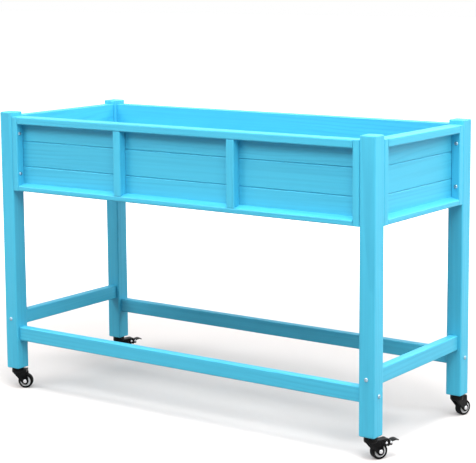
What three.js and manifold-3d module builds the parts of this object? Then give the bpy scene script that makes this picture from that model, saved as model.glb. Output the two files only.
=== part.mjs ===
// A raised rolling planter: a long shallow trough of framed board panels between four
// tall square posts, tied low down by four stretchers, on four swivel casters, two of
// which have a foot brake.
//
// Millimetres. +Z is up, +X runs along the length to the right, +Y runs to the back.
// The origin is on the floor, at the centre of the rectangle that the posts stand on.

import * as THREE from 'three';
import { mergeVertices } from 'three/addons/utils/BufferGeometryUtils.js';
import Module from 'manifold-3d';

const wasm = await Module();
wasm.setup();

// ---------------------------------------------------------------- driving sizes

const LENGTH = 1232; // over the outer faces of the posts, along X
const DEPTH = 500; // over the outer faces of the posts, along Y
const HEIGHT = 806; // from the floor to the tops of the posts
const FIT = 0.3; // gap between two pieces that meet
const CUT_MARGIN = 5; // how far a cutting solid reaches past what it cuts

// posts and stretchers
const POST = 44.5; // side of the square section
const POST_CORNER = 4; // rounding of the long edges
const POST_END = 3; // rounding of the top and bottom edges
const STRETCHER_TALL = 40;
const STRETCHER_THICK = 25;
const LONG_STRETCHER_LEVEL = 164.5; // centre of the front and back stretchers
const END_STRETCHER_LEVEL = 207.5; // centre of the left and right stretchers
const BOARD_CORNER = 3; // rounding of the long edges of stretchers, stiles and rails

// trough
const POST_RISE = 12; // how far the posts stand above the trough
const TROUGH_TALL = 211;
const FRAME_THICK = 25; // thickness of rails, stiles and dividers
const STILE_WIDE = 19.5;
const DIVIDER_WIDE = 24.5;
const LONG_BAYS = 3; // bays between the stiles of the front and back panels
const END_BAYS = 1;
const TOP_RAIL_TALL = 21;
const SILL_FACE = 14; // height of the bottom rail's outer face
const SILL_RISE = 7; // rise of its weathered top from the face to the boards
const SILL_NOSE = 2.5; // rounding of the nose between the face and the weathered top
const SILL_LIP = 6; // thickness of the lip that carries the boards and the floor
const BOARD_THICK = 12;
const BOARD_COUNT = 3; // boards in each panel
const LOWEST_BOARD_TALL = 62; // the boards above it share what is left
const BOARD_CHAMFER = 2; // half of the groove between two boards
const FLOOR_THICK = 12;
const FLOOR_BEARING = 12; // how far the lip reaches under the floor panel
const DRAIN_RADIUS = 6;
const DRAIN_COLUMNS = 6;
const DRAIN_ROWS = 2;

// bolt heads on the outer faces of the posts
const BOLT_HEAD_RADIUS = 5.5;
const BOLT_HEAD_TALL = 3.5;
const BOLT_SKIRT = 0.8; // straight part of the head under its dome

// caster plate and kingpin
const PLATE_RADIUS = 17; // of the round plate
const PLATE_THICK = 2.4;
const SCREW_COUNT = 4;
const SCREW_CIRCLE = 13.2; // radius of the circle that the screws stand on
const SCREW_HEAD_RADIUS = 2.4;
const SCREW_HEAD_TALL = 1.4;
const RACE_RADIUS = 10;
const RACE_TALL = 1.7;
const KINGPIN_RADIUS = 4;
const KINGPIN_CLEARANCE = 0.4;
const KINGPIN_FLANGE_RADIUS = 6;
const KINGPIN_FLANGE_TALL = 2.2;

// fork
const HEAD_RADIUS = 17.5; // the round head under the plate
const HEAD_TAPER = 0.5; // the head's lower edge inside its upper one
const HEAD_RISE = 6.3; // how far the head stands above a braked fork's bridge
const WHEEL_TOP_GAP = 3.5; // between the tyre and the bridge over it
const WEB_THICK = 4.5; // a braked fork's bridge
const LEG_LEAD = 11.8; // the fork's sides start this far before the swivel axis
const TRAIL = 22.5; // from the swivel axis to the wheel's axis
const WEB_PAST_AXLE = 4.5; // the bridge reaches this far past the wheel's axis
const LEG_THICK = 2.4;
const LEG_GAP = 1; // between the wheel's side and a leg
const EYE_RADIUS = 10; // round end of a leg, at the axle
const EYE_MEETS = 62 * Math.PI / 180; // where the leg's trailing edge runs into the eye

// wheel and axle
const WHEEL_RADIUS = 21;
const WHEEL_WIDE = 18;
const TREAD_CORNER = 3;
const TREAD_BEND = 0.3; // middle of the rounded shoulder, as a share of the corner
const RIM_RADIUS = 15.8; // where the tyre ends and the core's recessed face starts
const CORE_RECESS = 1.2;
const RIM_SLOPE = 1; // between the recessed face and the tyre
const HUB_RADIUS = 7;
const HUB_PROUD = 0.6; // how far the hub stands past the tyre's side
const AXLE_RADIUS = 3;
const AXLE_CLEARANCE = 0.25;
const AXLE_CAP_RADIUS = 5.4;
const AXLE_CAP_TALL = 2.2;
const AXLE_CAP_CROWN = 3.2; // radius of the flat middle of the cap
const AXLE_CAP_DROP = 0.4; // from the middle to the edge of the flat
const AXLE_CAP_SKIRT = 0.8; // straight part of the cap next to the fork

// brake of the braked casters, in the plane of the wheel
const PIVOT_ANGLE = 52.2 * Math.PI / 180; // the lever's pivot from the axle, above the trail
const PIVOT_GAP = 0.8; // between the lever's boss and the tyre
const PIVOT_RADIUS = 2.1;
const PIVOT_HEAD_RADIUS = 3.2;
const PIVOT_HEAD_TALL = 1.3;
const PIVOT_LAP = 0.5; // how far the rivet's shank runs into each of its heads
const EAR_RADIUS = 8; // round nose of the fork's ears about the pivot
const EAR_START = -0.8 * Math.PI; // where the ear's nose starts round the pivot
const EAR_LAP = 8; // the ear's root before the end of the bridge
const EAR_SINK = 1; // the ear's top below the bridge's
const CROWN_SETBACK = 0.5; // the hood's end before the ear's nose
const CROWN_RISE = 1.2; // middle of the hood's crown above the bridge
const CROWN_END_RISE = 0.5; // end of the hood above the bridge
const CROWN_LAP = 4; // the hood's root before the end of the bridge
const CROWN_THICK = 3.6;
const BOSS_RADIUS = 4; // lever round its pivot
const LEVER_SIDE_GAP = 1.2; // between the lever and an ear
const BOSS_FROM = 0.35 * Math.PI; // the boss's round part, from here
const BOSS_TO = 1.35 * Math.PI; // to here
const CHEEK_GAP = 1.6; // between an ear's nose and the lever's wide part
const CHEEK_LONG = 7.5;
const CHEEK_TOP = 4.5; // above the pivot
const CHEEK_BOTTOM = 8; // below the pivot
const CHEEK_CORNER = 2;
const SHOE_REACH = 7.3; // from the pivot to the tip of the shoe
const SHOE_DROP = 11.3;
const SHOE_WIDE = 3.5;
const SHOE_TALL = 4;
const ARM_LAP = 3; // how far the arm and the pedal run into the wide part
const PIN_REACH = 12.9; // from the pivot to the second rivet
const PEDAL_LONG = 39; // from the pivot to the pedal's tip
const PEDAL_TIP = 0; // tip above the pivot
const PEDAL_CROWN = 10; // control height of the pedal's curve above the pivot
const PEDAL_CROWN_REACH = 32; // and how far that control is from the pivot
const PEDAL_ROOT = 2.5; // the pedal's upper root below the top of the wide part
const PEDAL_ROOT_THICK = 3;
const PEDAL_UNDER_LAP = 5; // the pedal's lower root into the wide part
const PEDAL_CROWN_DROP = 3.6; // the lower curve's control below the upper one's
const PEDAL_END_THICK = 2.1;
const PEDAL_END_SLANT = 1.5;
const PEDAL_WIDE = 22;

// facets: a shape's arc takes twice the steps asked for
const CORNER_STEPS = 2;
const END_STEPS = 2;
const HOLE_STEPS = 5;
const LEG_STEPS = 7;
const EAR_STEPS = 4;
const PEDAL_STEPS = 5;
const DOME_STEPS = 3;
const WHEEL_SIDES = 28;
const ROUND_SIDES = 18;
const SMALL_SIDES = 12;

// directions in which the casters trail, as they stand after being rolled into place
const CASTERS = [
  { name: 'front_left', x: -1, y: -1, trail: 30, braked: false },
  { name: 'front_right', x: 1, y: -1, trail: 60, braked: true },
  { name: 'back_right', x: 1, y: 1, trail: 70, braked: false },
  { name: 'back_left', x: -1, y: 1, trail: 65, braked: true },
];

// ------------------------------------------------- levels worked out from the sizes

const LEG_INSIDE = WHEEL_WIDE / 2 + LEG_GAP;
const LEG_OUTSIDE = LEG_INSIDE + LEG_THICK;
const WEB_BOTTOM = 2 * WHEEL_RADIUS + WHEEL_TOP_GAP;
const WEB_REACH = TRAIL + WEB_PAST_AXLE;
const WEB_TOP = WEB_BOTTOM + WEB_THICK;
const HEAD_TOP = WEB_TOP + HEAD_RISE;
const PLATE_BOTTOM = HEAD_TOP + FIT + RACE_TALL;
const CASTER_HEIGHT = PLATE_BOTTOM + PLATE_THICK + FIT; // underside of the posts

const PIVOT_ARM = WHEEL_RADIUS + PIVOT_GAP + BOSS_RADIUS; // from the axle to the pivot
const PIVOT_REACH = TRAIL + PIVOT_ARM * Math.cos(PIVOT_ANGLE);
const PIVOT_LEVEL = WHEEL_RADIUS + PIVOT_ARM * Math.sin(PIVOT_ANGLE);
const CROWN_REACH = PIVOT_REACH + EAR_RADIUS - CROWN_SETBACK;
const CHEEK_START = EAR_RADIUS + CHEEK_GAP; // from the pivot

const TROUGH_TOP = HEIGHT - POST_RISE;
const TROUGH_BOTTOM = TROUGH_TOP - TROUGH_TALL;
const BOARD_FACE = FRAME_THICK + FIT; // from a panel's outer face in to its boards
const BOARD_BACK = BOARD_FACE + BOARD_THICK;
const LIP_REACH = BOARD_BACK + FLOOR_BEARING;
const SEAT = TROUGH_BOTTOM + SILL_LIP + FIT; // where the boards and the floor rest
const SILL_SLOPE = SILL_RISE / FRAME_THICK;
const UPPER_BOARD_PITCH = (TROUGH_TOP - SEAT - LOWEST_BOARD_TALL) / (BOARD_COUNT - 1);

// ---------------------------------------------------------------------- finishes

const paint = new THREE.MeshStandardMaterial({ color: 0x4db8e0, roughness: 0.5, metalness: 0 });
const black = new THREE.MeshStandardMaterial({ color: 0x16181a, roughness: 0.45, metalness: 0.1 });
const tyre = new THREE.MeshStandardMaterial({ color: 0x1b1c1e, roughness: 0.7, metalness: 0 });
const steel = new THREE.MeshStandardMaterial({ color: 0xc9cdd0, roughness: 0.3, metalness: 1 });

// ------------------------------------------------------------------ solid helpers

// A closed geometry as a solid that can be joined and cut.
function solid(geometry) {
  const bare = geometry.clone();
  bare.deleteAttribute('normal');
  bare.deleteAttribute('uv');
  const merged = mergeVertices(bare, 1e-4);
  return new wasm.Manifold(new wasm.Mesh({
    numProp: 3,
    vertProperties: new Float32Array(merged.attributes.position.array),
    triVerts: new Uint32Array(merged.index.array),
  }));
}

// A solid as a geometry again.
function geometryOf(body) {
  const mesh = body.getMesh();
  const geometry = new THREE.BufferGeometry();
  geometry.setAttribute('position', new THREE.BufferAttribute(mesh.vertProperties, 3));
  geometry.setIndex(new THREE.BufferAttribute(mesh.triVerts, 1));
  geometry.computeVertexNormals();
  return geometry;
}

function piece(name, geometry, material) {
  const mesh = new THREE.Mesh(geometry, material);
  mesh.name = name;
  return mesh;
}

// A rectangle with rounded corners, centred on the origin.
function roundedRectangle(wide, tall, corner) {
  const shape = new THREE.Shape();
  const x = wide / 2;
  const y = tall / 2;
  shape.moveTo(-x + corner, -y);
  shape.absarc(x - corner, -y + corner, corner, -Math.PI / 2, 0, false);
  shape.absarc(x - corner, y - corner, corner, 0, Math.PI / 2, false);
  shape.absarc(-x + corner, y - corner, corner, Math.PI / 2, Math.PI, false);
  shape.absarc(-x + corner, -y + corner, corner, Math.PI, 1.5 * Math.PI, false);
  return shape;
}

function prism(shape, depth, curveSegments = CORNER_STEPS) {
  return new THREE.ExtrudeGeometry(shape, { depth, curveSegments, bevelEnabled: false });
}

// The prism's own depth axis is laid along X, so that the shape's x runs along Y and its
// y along Z, with the middle of the depth at zero.
function alongX(geometry, depth) {
  geometry.translate(0, 0, -depth / 2);
  const basis = new THREE.Matrix4().makeBasis(
    new THREE.Vector3(0, 1, 0), new THREE.Vector3(0, 0, 1), new THREE.Vector3(1, 0, 0));
  return geometry.applyMatrix4(basis);
}

// A prism of a shape drawn in the wheel's plane, [along the trail, height], centred on
// that plane and as wide as asked.
function acrossWheel(shape, wide, curveSegments = CORNER_STEPS) {
  const geometry = prism(shape, wide, curveSegments);
  geometry.translate(0, 0, -wide / 2);
  return geometry.rotateX(Math.PI / 2);
}

// A round bar across the wheel's plane.
function barAcross(radius, wide, x, z, sides = SMALL_SIDES) {
  return new THREE.CylinderGeometry(radius, radius, wide, sides).translate(x, 0, z);
}

// A bar with rounded long edges, running along X.
function barX(long, thick, tall, corner) {
  return alongX(prism(roundedRectangle(thick, tall, corner), long), long);
}

// A bar with rounded long edges, running up Z from zero.
function barZ(wide, thick, tall, corner) {
  return prism(roundedRectangle(wide, thick, corner), tall);
}

// A domed bolt head whose flat side is at zero and whose dome points along +Z.
function boltHead() {
  const points = [new THREE.Vector2(0, -FIT), new THREE.Vector2(BOLT_HEAD_RADIUS, -FIT)];
  for (let i = 0; i <= DOME_STEPS; i += 1) {
    const angle = (i / DOME_STEPS) * Math.PI / 2;
    const radius = BOLT_HEAD_RADIUS * Math.cos(angle);
    const rise = BOLT_SKIRT + (BOLT_HEAD_TALL - BOLT_SKIRT) * Math.sin(angle);
    points.push(new THREE.Vector2(i === DOME_STEPS ? 0 : radius, rise));
  }
  return new THREE.LatheGeometry(points, SMALL_SIDES).rotateX(Math.PI / 2);
}

// ------------------------------------------------------------ posts and stretchers

// A square post with rounded edges, with the heads of the two stretcher bolts on its
// outer faces. outX and outY are the signs of the faces that look outwards.
function post(name, outX, outY) {
  const straight = HEIGHT - CASTER_HEIGHT - 2 * POST_END;
  const section = roundedRectangle(POST - 2 * POST_END, POST - 2 * POST_END, POST_CORNER - POST_END);
  const shaft = new THREE.ExtrudeGeometry(section, {
    depth: straight,
    curveSegments: CORNER_STEPS,
    bevelEnabled: true,
    bevelThickness: POST_END,
    bevelSize: POST_END,
    bevelSegments: END_STEPS,
  }).translate(0, 0, CASTER_HEIGHT + POST_END);
  const sideHead = boltHead().rotateY(outX * Math.PI / 2);
  sideHead.translate(outX * POST / 2, 0, LONG_STRETCHER_LEVEL);
  const faceHead = boltHead().rotateX(-outY * Math.PI / 2);
  faceHead.translate(0, outY * POST / 2, END_STRETCHER_LEVEL);
  const body = solid(shaft).add(solid(sideHead)).add(solid(faceHead));
  const mesh = piece(name, geometryOf(body), paint);
  mesh.position.set(outX * (LENGTH - POST) / 2, outY * (DEPTH - POST) / 2, 0);
  return mesh;
}

// A stretcher runs along the local X axis, centred on the posts that it joins.
function stretcher(name, span, level) {
  const long = span - 2 * POST - 2 * FIT;
  const mesh = piece(name, barX(long, STRETCHER_THICK, STRETCHER_TALL, BOARD_CORNER), paint);
  mesh.position.z = level;
  return mesh;
}

// ----------------------------------------------------------------- trough panels

// The bottom rail's section: x runs in from the outer face, y up from the underside.
function sillSection() {
  const top = (x) => SILL_FACE + SILL_SLOPE * x;
  const shape = new THREE.Shape();
  shape.moveTo(BOARD_CORNER, 0);
  shape.lineTo(LIP_REACH, 0);
  shape.lineTo(LIP_REACH, SILL_LIP);
  shape.lineTo(FRAME_THICK, SILL_LIP);
  shape.lineTo(FRAME_THICK, top(FRAME_THICK));
  shape.lineTo(SILL_NOSE, top(SILL_NOSE));
  shape.quadraticCurveTo(0, SILL_FACE, 0, SILL_FACE - SILL_NOSE);
  shape.lineTo(0, BOARD_CORNER);
  shape.quadraticCurveTo(0, 0, BOARD_CORNER, 0);
  return shape;
}

// A divider stands on the weathered top of the bottom rail, so its foot is cut to it.
function dividerGeometry() {
  const tall = TROUGH_TALL - TOP_RAIL_TALL - FIT - SILL_FACE + SILL_NOSE;
  const bar = barZ(DIVIDER_WIDE, FRAME_THICK, tall, BOARD_CORNER);
  bar.translate(0, FRAME_THICK / 2, SILL_FACE - SILL_NOSE);
  const cut = (x) => SILL_FACE + FIT + SILL_SLOPE * x;
  const wedge = new THREE.Shape();
  wedge.moveTo(-CUT_MARGIN, 0);
  wedge.lineTo(FRAME_THICK + CUT_MARGIN, 0);
  wedge.lineTo(FRAME_THICK + CUT_MARGIN, cut(FRAME_THICK + CUT_MARGIN));
  wedge.lineTo(-CUT_MARGIN, cut(-CUT_MARGIN));
  wedge.closePath();
  const wide = DIVIDER_WIDE + 2 * CUT_MARGIN;
  return geometryOf(solid(bar).subtract(solid(alongX(prism(wedge, wide), wide))));
}

// A board's section: x runs in from its face, y up from its lower edge.
function boardSection(tall) {
  const shape = new THREE.Shape();
  shape.moveTo(BOARD_CHAMFER, 0);
  shape.lineTo(BOARD_THICK, 0);
  shape.lineTo(BOARD_THICK, tall);
  shape.lineTo(BOARD_CHAMFER, tall);
  shape.lineTo(0, tall - BOARD_CHAMFER);
  shape.lineTo(0, BOARD_CHAMFER);
  shape.closePath();
  return shape;
}

// One side of the trough. It is built with its outer face on y = 0 and its length along
// X between the posts, and ends names the pieces at its -X and +X ends.
function panel(side, span, bays, ends) {
  const group = new THREE.Group();
  const between = span - 2 * POST - 2 * FIT; // from post to post
  const inside = between - 2 * STILE_WIDE - 2 * FIT; // from stile to stile

  [-1, 1].forEach((sign, i) => {
    const stile = barZ(STILE_WIDE, FRAME_THICK, TROUGH_TALL, BOARD_CORNER);
    const mesh = piece(`stile_${side}_${ends[i]}`, stile, paint);
    mesh.position.set(sign * (between - STILE_WIDE) / 2, FRAME_THICK / 2, TROUGH_BOTTOM);
    group.add(mesh);
  });

  const rail = piece(`top_rail_${side}`, barX(inside, FRAME_THICK, TOP_RAIL_TALL, BOARD_CORNER), paint);
  rail.position.set(0, FRAME_THICK / 2, TROUGH_TOP - TOP_RAIL_TALL / 2);
  group.add(rail);

  const sill = piece(`bottom_rail_${side}`, alongX(prism(sillSection(), inside), inside), paint);
  sill.position.z = TROUGH_BOTTOM;
  group.add(sill);

  const bay = (inside - (bays - 1) * DIVIDER_WIDE) / bays;
  for (let i = 1; i < bays; i += 1) {
    const mesh = piece(`divider_${side}_${i}`, dividerGeometry(), paint);
    mesh.position.set(-inside / 2 + i * (bay + DIVIDER_WIDE) - DIVIDER_WIDE / 2, 0, TROUGH_BOTTOM);
    group.add(mesh);
  }

  let top = TROUGH_TOP;
  for (let i = 1; i <= BOARD_COUNT; i += 1) {
    const lowest = i === BOARD_COUNT;
    const bottom = lowest ? SEAT : top - UPPER_BOARD_PITCH + FIT;
    const shape = boardSection(top - bottom);
    const mesh = piece(`board_${side}_${i}`, alongX(prism(shape, between), between), paint);
    mesh.position.set(0, BOARD_FACE, bottom);
    group.add(mesh);
    top = bottom - FIT;
  }
  return group;
}

// The floor panel lies on the lips of the bottom rails, notched round the posts, with
// rows of drain holes.
function floorPanel() {
  const x = LENGTH / 2 - BOARD_BACK - FIT;
  const y = DEPTH / 2 - BOARD_BACK - FIT;
  const notchX = LENGTH / 2 - POST - FIT;
  const notchY = DEPTH / 2 - POST - FIT;
  const shape = new THREE.Shape();
  shape.moveTo(-notchX, -y);
  shape.lineTo(notchX, -y);
  shape.lineTo(notchX, -notchY);
  shape.lineTo(x, -notchY);
  shape.lineTo(x, notchY);
  shape.lineTo(notchX, notchY);
  shape.lineTo(notchX, y);
  shape.lineTo(-notchX, y);
  shape.lineTo(-notchX, notchY);
  shape.lineTo(-x, notchY);
  shape.lineTo(-x, -notchY);
  shape.lineTo(-notchX, -notchY);
  shape.closePath();
  for (let i = 0; i < DRAIN_COLUMNS; i += 1) {
    for (let j = 0; j < DRAIN_ROWS; j += 1) {
      const hole = new THREE.Path();
      const holeX = ((i + 0.5) / DRAIN_COLUMNS - 0.5) * 2 * x;
      const holeY = ((j + 0.5) / DRAIN_ROWS - 0.5) * 2 * y;
      hole.absarc(holeX, holeY, DRAIN_RADIUS, 0, 2 * Math.PI, true);
      shape.holes.push(hole);
    }
  }
  const mesh = piece('floor_panel', prism(shape, FLOOR_THICK, HOLE_STEPS), paint);
  mesh.position.z = SEAT;
  return mesh;
}

// ------------------------------------------------------------------------ casters

// The round plate with its race, its kingpin and the heads of its screws, in one with it.
function casterPlate(name) {
  const flangeTop = WEB_BOTTOM - FIT;
  const flangeBottom = flangeTop - KINGPIN_FLANGE_TALL;
  const raceBottom = PLATE_BOTTOM - RACE_TALL;
  const profile = [
    new THREE.Vector2(0, flangeBottom),
    new THREE.Vector2(KINGPIN_FLANGE_RADIUS, flangeBottom),
    new THREE.Vector2(KINGPIN_FLANGE_RADIUS, flangeTop),
    new THREE.Vector2(KINGPIN_RADIUS, flangeTop),
    new THREE.Vector2(KINGPIN_RADIUS, raceBottom),
    new THREE.Vector2(RACE_RADIUS, raceBottom),
    new THREE.Vector2(RACE_RADIUS, PLATE_BOTTOM),
    new THREE.Vector2(PLATE_RADIUS, PLATE_BOTTOM),
    new THREE.Vector2(PLATE_RADIUS, PLATE_BOTTOM + PLATE_THICK),
    new THREE.Vector2(0, PLATE_BOTTOM + PLATE_THICK),
  ];
  let body = solid(new THREE.LatheGeometry(profile, WHEEL_SIDES).rotateX(Math.PI / 2));
  const tall = SCREW_HEAD_TALL + PLATE_THICK / 2;
  for (let i = 0; i < SCREW_COUNT; i += 1) {
    const angle = (i + 0.5) / SCREW_COUNT * 2 * Math.PI;
    const head = new THREE.CylinderGeometry(SCREW_HEAD_RADIUS, SCREW_HEAD_RADIUS, tall, SMALL_SIDES);
    head.rotateX(Math.PI / 2);
    head.translate(
      SCREW_CIRCLE * Math.cos(angle),
      SCREW_CIRCLE * Math.sin(angle),
      PLATE_BOTTOM - SCREW_HEAD_TALL + tall / 2);
    body = body.add(solid(head));
  }
  return piece(name, geometryOf(body), black);
}

// The side of a fork: from the bridge's top, down its leading edge to the eye round the
// axle, and back up its trailing edge. The leading edge is tangent to the eye.
function legShape(top) {
  const dx = TRAIL + LEG_LEAD;
  const dz = WHEEL_RADIUS - WEB_BOTTOM;
  const reach = Math.hypot(dx, dz);
  const leading = Math.atan2(-dz, -dx) + Math.acos(EYE_RADIUS / reach);
  const shape = new THREE.Shape();
  shape.moveTo(-LEG_LEAD, top);
  shape.lineTo(-LEG_LEAD, WEB_BOTTOM);
  shape.absarc(TRAIL, WHEEL_RADIUS, EYE_RADIUS, leading, EYE_MEETS + 2 * Math.PI, false);
  shape.lineTo(WEB_REACH, WEB_BOTTOM);
  shape.lineTo(WEB_REACH, top);
  shape.closePath();
  return shape;
}

// The hood's crown over a braked wheel.
function crownShape() {
  const start = WEB_REACH - CROWN_LAP;
  const crown = WEB_TOP + 2 * CROWN_RISE - CROWN_END_RISE / 2;
  const shape = new THREE.Shape();
  shape.moveTo(start, WEB_TOP - CROWN_THICK);
  shape.lineTo(CROWN_REACH, WEB_TOP - CROWN_THICK);
  shape.lineTo(CROWN_REACH, WEB_TOP + CROWN_END_RISE);
  shape.quadraticCurveTo((WEB_REACH + CROWN_REACH) / 2, crown, WEB_REACH, WEB_TOP);
  shape.lineTo(start, WEB_TOP);
  shape.closePath();
  return shape;
}

// The ear beside the lever, round about its pivot and joined up to the hood.
function earShape() {
  const shape = new THREE.Shape();
  shape.moveTo(WEB_REACH - EAR_LAP, WEB_TOP - EAR_SINK);
  shape.absarc(PIVOT_REACH, PIVOT_LEVEL, EAR_RADIUS, EAR_START, 0, false);
  shape.lineTo(CROWN_REACH, WEB_TOP - EAR_SINK);
  shape.closePath();
  return shape;
}

// A fork without a brake has a bridge as tall as its head. A braked one has a lower
// bridge, which goes over into a hood and two ears.
function fork(name, braked) {
  const top = braked ? WEB_TOP : HEAD_TOP;
  const web = new THREE.Shape();
  web.moveTo(-LEG_LEAD, WEB_BOTTOM);
  web.lineTo(WEB_REACH, WEB_BOTTOM);
  web.lineTo(WEB_REACH, top);
  web.lineTo(-LEG_LEAD, top);
  web.closePath();
  const head = new THREE.CylinderGeometry(
    HEAD_RADIUS, HEAD_RADIUS - HEAD_TAPER, HEAD_TOP - WEB_BOTTOM, WHEEL_SIDES);
  head.rotateX(Math.PI / 2).translate(0, 0, (HEAD_TOP + WEB_BOTTOM) / 2);
  let sides = solid(acrossWheel(legShape(top), 2 * LEG_OUTSIDE, LEG_STEPS));
  let bridge = solid(acrossWheel(web, 2 * LEG_OUTSIDE)).add(solid(head));
  if (braked) {
    sides = sides.add(solid(acrossWheel(earShape(), 2 * LEG_OUTSIDE, EAR_STEPS)));
    bridge = bridge.add(solid(acrossWheel(crownShape(), 2 * LEG_OUTSIDE, PEDAL_STEPS)));
  }
  const inside = new THREE.BoxGeometry(4 * HEAD_RADIUS + 2 * CROWN_REACH, 2 * LEG_INSIDE, 2 * HEAD_TOP);
  let body = sides.subtract(solid(inside)).add(bridge);
  const boreRadius = KINGPIN_RADIUS + KINGPIN_CLEARANCE;
  const boreLong = 2 * (HEAD_TOP - WEB_BOTTOM + CUT_MARGIN);
  const bore = new THREE.CylinderGeometry(boreRadius, boreRadius, boreLong, ROUND_SIDES);
  bore.rotateX(Math.PI / 2).translate(0, 0, HEAD_TOP);
  body = body.subtract(solid(bore));
  const through = 4 * LEG_OUTSIDE;
  const axleHole = barAcross(AXLE_RADIUS + AXLE_CLEARANCE, through, TRAIL, WHEEL_RADIUS);
  body = body.subtract(solid(axleHole));
  if (braked) {
    const pivotHole = barAcross(PIVOT_RADIUS + AXLE_CLEARANCE, through, PIVOT_REACH, PIVOT_LEVEL);
    body = body.subtract(solid(pivotHole));
  }
  return piece(name, geometryOf(body), black);
}

// The wheel turns on the local Y axis: a tyre with rounded shoulders, a core face set in
// from it, and a hub that stands a little proud, with a bore for the axle.
function wheel(name) {
  const half = WHEEL_WIDE / 2;
  const hub = half + HUB_PROUD;
  const bore = AXLE_RADIUS + AXLE_CLEARANCE;
  const bend = TREAD_BEND * TREAD_CORNER;
  const side = (sign) => [
    [bore, sign * hub],
    [HUB_RADIUS, sign * hub],
    [HUB_RADIUS, sign * (half - CORE_RECESS)],
    [RIM_RADIUS - RIM_SLOPE, sign * (half - CORE_RECESS)],
    [RIM_RADIUS, sign * half],
    [WHEEL_RADIUS - TREAD_CORNER, sign * half],
    [WHEEL_RADIUS - bend, sign * (half - bend)],
    [WHEEL_RADIUS, sign * (half - TREAD_CORNER)],
  ];
  const outline = [...side(-1), ...side(1).reverse()];
  outline.push(outline[0]);
  const points = outline.map(([radius, along]) => new THREE.Vector2(radius, along));
  const mesh = piece(name, new THREE.LatheGeometry(points, WHEEL_SIDES), tyre);
  mesh.position.set(TRAIL, 0, WHEEL_RADIUS);
  return mesh;
}

// The axle is a rivet through both legs, with a domed cap on each side.
function axle(name) {
  const seat = LEG_OUTSIDE + FIT;
  const end = seat + AXLE_CAP_TALL;
  const cap = (sign) => [
    [0, sign * end],
    [AXLE_CAP_CROWN, sign * (end - AXLE_CAP_DROP)],
    [AXLE_CAP_RADIUS, sign * (seat + AXLE_CAP_SKIRT)],
    [AXLE_CAP_RADIUS, sign * seat],
    [AXLE_RADIUS, sign * seat],
  ];
  const outline = [...cap(-1), ...cap(1).reverse()];
  const points = outline.map(([radius, along]) => new THREE.Vector2(radius, along));
  const mesh = piece(name, new THREE.LatheGeometry(points, SMALL_SIDES), steel);
  mesh.position.set(TRAIL, 0, WHEEL_RADIUS);
  return mesh;
}

// The brake lever turns on its own rivet between the ears. The origin of its mesh is the
// pivot, x runs along the trail and z up. Pressing the pedal swings the shoe to the tyre.
function brakeLever(name) {
  const arm = new THREE.Shape();
  arm.absarc(0, 0, BOSS_RADIUS, BOSS_FROM, BOSS_TO, false);
  arm.lineTo(SHOE_REACH - SHOE_WIDE, -SHOE_DROP + SHOE_TALL);
  arm.lineTo(SHOE_REACH, -SHOE_DROP);
  arm.lineTo(CHEEK_START + ARM_LAP, -CHEEK_BOTTOM);
  arm.lineTo(CHEEK_START + ARM_LAP, BOSS_RADIUS);
  arm.closePath();
  const between = 2 * (LEG_INSIDE - LEVER_SIDE_GAP);

  const cheek = roundedRectangle(CHEEK_LONG, CHEEK_TOP + CHEEK_BOTTOM, CHEEK_CORNER);
  const cheeks = acrossWheel(cheek, 2 * LEG_OUTSIDE);
  cheeks.translate(CHEEK_START + CHEEK_LONG / 2, 0, (CHEEK_TOP - CHEEK_BOTTOM) / 2);

  const pedal = new THREE.Shape();
  const root = CHEEK_TOP - PEDAL_ROOT;
  const under = PEDAL_CROWN - PEDAL_CROWN_DROP;
  const lowerRoot = [CHEEK_START + PEDAL_UNDER_LAP, root - PEDAL_ROOT_THICK];
  pedal.moveTo(CHEEK_START + ARM_LAP, root);
  pedal.quadraticCurveTo(PEDAL_CROWN_REACH, PEDAL_CROWN, PEDAL_LONG, PEDAL_TIP);
  pedal.lineTo(PEDAL_LONG - PEDAL_END_SLANT, PEDAL_TIP - PEDAL_END_THICK);
  pedal.quadraticCurveTo(PEDAL_CROWN_REACH, under, ...lowerRoot);
  pedal.closePath();

  const seat = LEG_OUTSIDE + FIT;
  const shank = barAcross(PIVOT_RADIUS, 2 * (seat + PIVOT_LAP), 0, 0);
  const pin = barAcross(PIVOT_HEAD_RADIUS, 2 * (LEG_OUTSIDE + PIVOT_HEAD_TALL), PIN_REACH, 0);
  let body = solid(acrossWheel(arm, between, EAR_STEPS));
  body = body.add(solid(cheeks)).add(solid(acrossWheel(pedal, PEDAL_WIDE, PEDAL_STEPS)));
  body = body.add(solid(shank)).add(solid(pin));
  for (const sign of [-1, 1]) {
    const head = new THREE.CylinderGeometry(
      PIVOT_HEAD_RADIUS, PIVOT_HEAD_RADIUS, PIVOT_HEAD_TALL, SMALL_SIDES);
    head.translate(0, sign * (seat + PIVOT_HEAD_TALL / 2), 0);
    body = body.add(solid(head));
  }
  const mesh = piece(name, geometryOf(body), black);
  mesh.position.set(PIVOT_REACH, 0, PIVOT_LEVEL);
  return mesh;
}

// One caster under its post. The plate is square to the post, and the rest is turned
// about the swivel axis to its trail direction.
function caster({ name, x, y, trail, braked }) {
  const group = new THREE.Group();
  group.position.set(x * (LENGTH - POST) / 2, y * (DEPTH - POST) / 2, 0);
  group.add(casterPlate(`caster_plate_${name}`));
  const swivel = new THREE.Group();
  swivel.rotation.z = trail * Math.PI / 180;
  swivel.add(fork(`caster_fork_${name}`, braked));
  swivel.add(wheel(`caster_wheel_${name}`));
  swivel.add(axle(`caster_axle_${name}`));
  if (braked) {
    swivel.add(brakeLever(`brake_lever_${name}`));
  }
  group.add(swivel);
  return group;
}

// ----------------------------------------------------------------------- assembly

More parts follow.
